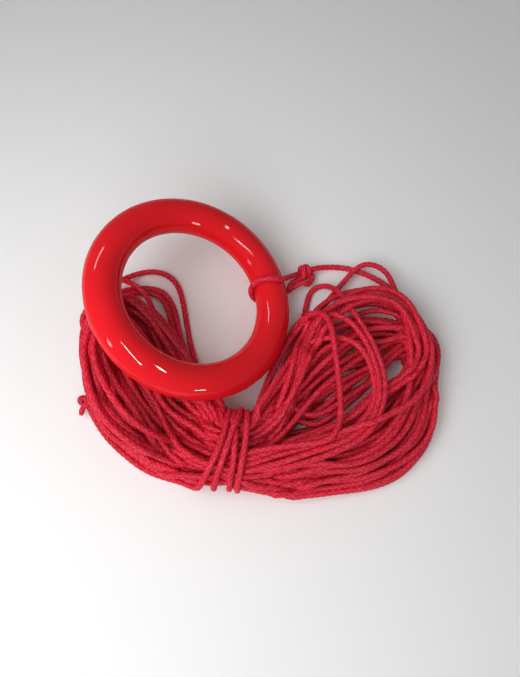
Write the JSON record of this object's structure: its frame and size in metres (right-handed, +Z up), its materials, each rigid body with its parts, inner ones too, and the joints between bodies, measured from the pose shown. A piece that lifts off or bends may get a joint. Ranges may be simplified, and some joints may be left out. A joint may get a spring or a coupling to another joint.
{
  "type": "rescue quoit with throwing line",
  "caption": "Buoyant throwing ring tied to a long braided floating line, which is made up as a hank bound at its waist.",
  "frame": {"origin": "on the surface that the hank lies on, under the turns of line that bind the hank's waist", "axes": "+Z up; +X along the hank from the left bight to the right bight; +Y from the waist towards the ring"},
  "size_m": [0.3101, 0.2383, 0.0976],
  "materials": {
    "shell": "high gloss moulded red",
    "foam": "closed-cell foam",
    "plug": "satin red",
    "line": "braided floating line, soft sheen"
  },
  "bodies": {
    "line": {"ring_loop": "line", "tie_knot": "line", "knot_tail": "line", "lead_line": "line", "hank_left": "line", "hank_waist": "line", "hank_right": "line", "waist_wraps": "line", "loose_turn_outer": "line", "loose_turn_inner": "line", "line_end_knot": "line"},
    "ring": {"ring_shell": "shell", "ring_core": "foam", "vent_plug": "plug"}
  },
  "joints": [
    {"name": "ring_swing", "type": "hinge", "parent": "line", "child": "ring", "pos_m": [0.03317, 0.14343, 0.02108], "axis": [-0.327, 0.9379, 0.1159], "range_deg": [0, 90]}
  ]
}
